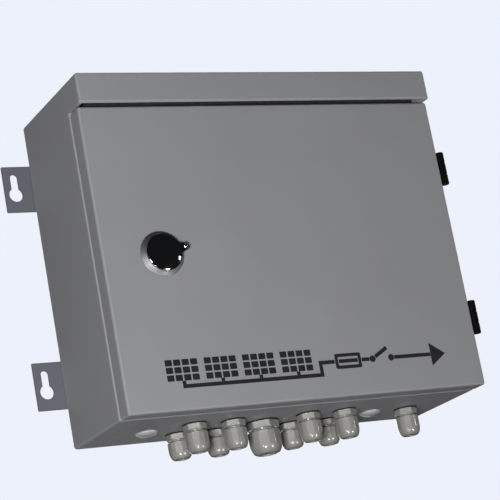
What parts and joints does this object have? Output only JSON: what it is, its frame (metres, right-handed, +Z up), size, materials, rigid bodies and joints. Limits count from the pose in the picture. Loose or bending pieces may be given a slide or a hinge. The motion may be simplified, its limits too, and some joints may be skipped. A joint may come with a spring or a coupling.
{
  "type": "dc combiner box",
  "caption": "Wall-hung sheet-steel box with rain hood, side-hinged door, round quarter-turn lock, cable glands underneath and DIN-rail switchgear inside.",
  "frame": {"origin": "centre of the wall plane that the four ears rest on, half-way up the enclosure", "axes": "+X to the right seen from the front, +Y into the wall, +Z up"},
  "size_m": [0.4032, 0.1387, 0.3302],
  "materials": {
    "enclosure_paint": "fine-textured light grey powder coat",
    "gland_plastic": "moulded nylon, slight sheen",
    "hinge_black": "black-coated zinc casting",
    "chrome": "polished, dark reflections",
    "zinc_plated": "zinc plated",
    "gasket_foam": "foamed seal, matt",
    "device_grey": "moulded, fine texture",
    "device_dark": "moulded, fine texture",
    "brass": "drawn bar",
    "lead_red": "smooth insulation"
  },
  "bodies": {
    "enclosure": {"enclosure_body": "enclosure_paint", "ear_upper_left": "enclosure_paint", "ear_upper_right": "enclosure_paint", "ear_lower_left": "enclosure_paint", "ear_lower_right": "enclosure_paint", "hinge_upper_body_leaf": "hinge_black", "hinge_upper_pin": "zinc_plated", "hinge_lower_body_leaf": "hinge_black", "hinge_lower_pin": "zinc_plated", "gland_1_body": "gland_plastic", "gland_1_cap": "gland_plastic", "gland_2_body": "gland_plastic", "gland_2_cap": "gland_plastic", "gland_3_body": "gland_plastic", "gland_3_cap": "gland_plastic", "gland_4_body": "gland_plastic", "gland_4_cap": "gland_plastic", "gland_5_body": "gland_plastic", "gland_5_cap": "gland_plastic", "gland_6_body": "gland_plastic", "gland_6_cap": "gland_plastic", "gland_7_body": "gland_plastic", "gland_7_cap": "gland_plastic", "gland_8_body": "gland_plastic", "gland_8_cap": "gland_plastic", "gland_9_body": "gland_plastic", "gland_9_cap": "gland_plastic", "gland_10_body": "gland_plastic", "gland_10_cap": "gland_plastic", "blanking_plug_1": "gland_plastic", "blanking_plug_2": "gland_plastic", "mounting_plate": "zinc_plated", "din_rail": "zinc_plated", "fuse_base_1": "device_grey", "fuse_base_2": "device_grey", "fuse_base_3": "device_grey", "fuse_base_4": "device_grey", "breaker_case": "device_grey", "surge_protector": "device_grey", "output_terminals": "device_dark", "earth_bar": "brass", "positive_busbar": "device_dark", "negative_busbar": "device_dark", "positive_lead": "lead_red", "output_lead": "lead_red"},
    "door": {"door_panel": "enclosure_paint", "door_gasket": "gasket_foam", "hinge_upper_door_leaf": "hinge_black", "hinge_lower_door_leaf": "hinge_black", "lock_housing": "chrome", "lock_nut": "zinc_plated", "lock_cover_rivet": "chrome"},
    "lock_core": {"lock_core": "zinc_plated", "lock_cam": "zinc_plated"},
    "dust_cover": {"lock_dust_cover": "chrome"},
    "fuse_carrier_1": {"fuse_carrier_1": "device_dark"},
    "fuse_carrier_2": {"fuse_carrier_2": "device_dark"},
    "fuse_carrier_3": {"fuse_carrier_3": "device_dark"},
    "fuse_carrier_4": {"fuse_carrier_4": "device_dark"},
    "breaker_toggle": {"breaker_toggle": "device_dark"}
  },
  "joints": [
    {"name": "door_hinge", "type": "hinge", "parent": "enclosure", "child": "door", "pos_m": [0.1801, -0.1248, -0.0145], "axis": [0, 0, 1], "range_deg": [0, 120]},
    {"name": "lock_turn", "type": "hinge", "parent": "door", "child": "lock_core", "pos_m": [-0.12, -0.1346, -0.0135], "axis": [0, 1, 0], "range_deg": [0, 90]},
    {"name": "dust_cover_swing", "type": "hinge", "parent": "door", "child": "dust_cover", "pos_m": [-0.09995, -0.1349, -0.00924], "axis": [0, -1, 0], "range_deg": [0, 150]},
    {"name": "fuse_carrier_1_tip", "type": "hinge", "parent": "enclosure", "child": "fuse_carrier_1", "pos_m": [-0.0935, -0.0695, 0.007], "axis": [1, 0, 0], "range_deg": [0, 85]},
    {"name": "fuse_carrier_2_tip", "type": "hinge", "parent": "enclosure", "child": "fuse_carrier_2", "pos_m": [-0.0573, -0.0695, 0.007], "axis": [1, 0, 0], "range_deg": [0, 85]},
    {"name": "fuse_carrier_3_tip", "type": "hinge", "parent": "enclosure", "child": "fuse_carrier_3", "pos_m": [-0.0211, -0.0695, 0.007], "axis": [1, 0, 0], "range_deg": [0, 85]},
    {"name": "fuse_carrier_4_tip", "type": "hinge", "parent": "enclosure", "child": "fuse_carrier_4", "pos_m": [0.0151, -0.0695, 0.007], "axis": [1, 0, 0], "range_deg": [0, 85]},
    {"name": "breaker_toggle_throw", "type": "hinge", "parent": "enclosure", "child": "breaker_toggle", "pos_m": [0.054, -0.0792, 0.025], "axis": [-1, 0, 0], "range_deg": [0, 80]}
  ]
}
